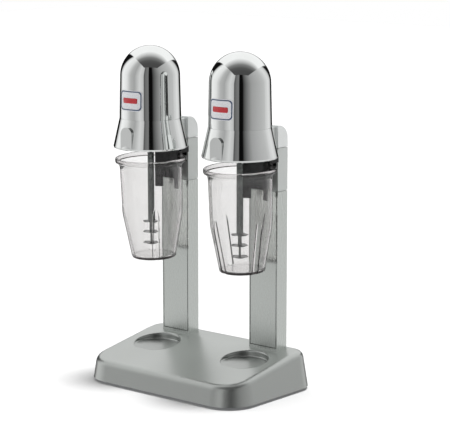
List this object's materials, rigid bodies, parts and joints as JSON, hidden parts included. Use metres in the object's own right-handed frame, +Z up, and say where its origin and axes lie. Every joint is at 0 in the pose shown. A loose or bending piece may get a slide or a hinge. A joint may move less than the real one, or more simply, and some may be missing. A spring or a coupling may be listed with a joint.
{
  "type": "milkshake mixer",
  "caption": "Bar drink mixer with chromed bell motor heads on steel columns, hanging clear beakers and a brushed steel wedge base.",
  "frame": {"origin": "centre of the bounding box footprint, on the floor under the rubber feet", "axes": "+Z up, +X to the operator's right, -Y towards the operator, so the columns are at the back"},
  "size_m": [0.2948, 0.191, 0.485],
  "materials": {
    "base_steel": "brushed",
    "column_steel": "brushed",
    "chrome": "polished",
    "light_housing": "satin",
    "clear_plastic": "clear gloss",
    "black_plastic": "matte",
    "rubber": "matte",
    "badge": "gloss",
    "cast_aluminium": "cast",
    "stator_steel": "satin",
    "copper": "enamelled wire",
    "motor_steel": "ground",
    "fan_plastic": "matte",
    "carbon": "matte",
    "plate_steel": "satin",
    "bolt_steel": "satin"
  },
  "bodies": {
    "stand": {"base_shell": "base_steel", "base_bottom_plate": "plate_steel", "rubber_feet": "rubber", "cable_gland": "black_plastic", "column_screws": "bolt_steel", "column_left": "column_steel", "column_front_left": "column_steel", "arm_housing_left": "light_housing", "arm_cap_left": "light_housing", "arm_bracket_left": "cast_aluminium", "dome_left": "chrome", "skirt_left": "chrome", "badge_left": "badge", "under_cover_left": "black_plastic", "stator_left": "stator_steel", "field_coils_left": "copper", "lower_bearing_left": "motor_steel", "upper_bearing_left": "motor_steel", "brush_bridge_left": "black_plastic", "carbon_brushes_left": "carbon", "beaker_holder_left": "black_plastic", "microswitch_left": "black_plastic", "column_right": "column_steel", "column_front_right": "column_steel", "arm_housing_right": "light_housing", "arm_cap_right": "light_housing", "arm_bracket_right": "cast_aluminium", "dome_right": "chrome", "skirt_right": "chrome", "badge_right": "badge", "under_cover_right": "black_plastic", "stator_right": "stator_steel", "field_coils_right": "copper", "lower_bearing_right": "motor_steel", "upper_bearing_right": "motor_steel", "brush_bridge_right": "black_plastic", "carbon_brushes_right": "carbon", "beaker_holder_right": "black_plastic", "microswitch_right": "black_plastic"},
    "rotor_left": {"armature_left": "stator_steel", "commutator_left": "copper", "motor_shaft_left": "motor_steel", "fan_left": "fan_plastic", "spindle_left": "motor_steel", "agitator_upper_left": "motor_steel", "agitator_middle_left": "motor_steel", "agitator_lower_left": "motor_steel"},
    "beaker_left": {"beaker_left": "clear_plastic"},
    "start_lever_left": {"start_lever_left": "black_plastic"},
    "rotor_right": {"armature_right": "stator_steel", "commutator_right": "copper", "motor_shaft_right": "motor_steel", "fan_right": "fan_plastic", "spindle_right": "motor_steel", "agitator_upper_right": "motor_steel", "agitator_middle_right": "motor_steel", "agitator_lower_right": "motor_steel"},
    "beaker_right": {"beaker_right": "clear_plastic"},
    "start_lever_right": {"start_lever_right": "black_plastic"}
  },
  "joints": [
    {"name": "spindle_left_spin", "type": "hinge", "parent": "stand", "child": "rotor_left", "pos_m": [-0.0825, -0.0075, 0.35], "axis": [0, 0, 1], "continuous": true},
    {"name": "spindle_right_spin", "type": "hinge", "parent": "stand", "child": "rotor_right", "pos_m": [0.0825, -0.0075, 0.35], "axis": [0, 0, 1], "continuous": true},
    {"name": "beaker_left_slide", "type": "slide", "parent": "stand", "child": "beaker_left", "axis": [0, 0, -1], "range_m": [0, 0.131]},
    {"name": "beaker_right_slide", "type": "slide", "parent": "stand", "child": "beaker_right", "axis": [0, 0, -1], "range_m": [0, 0.131]},
    {"name": "start_lever_left_hinge", "type": "hinge", "parent": "stand", "child": "start_lever_left", "pos_m": [-0.0825, 0.052, 0.332], "axis": [1, 0, 0], "range_deg": [-4.5, 0], "stiffness_Nm_per_rad": 0.8, "springref_deg": 3.44},
    {"name": "start_lever_right_hinge", "type": "hinge", "parent": "stand", "child": "start_lever_right", "pos_m": [0.0825, 0.052, 0.332], "axis": [1, 0, 0], "range_deg": [-4.5, 0], "stiffness_Nm_per_rad": 0.8, "springref_deg": 3.44}
  ]
}
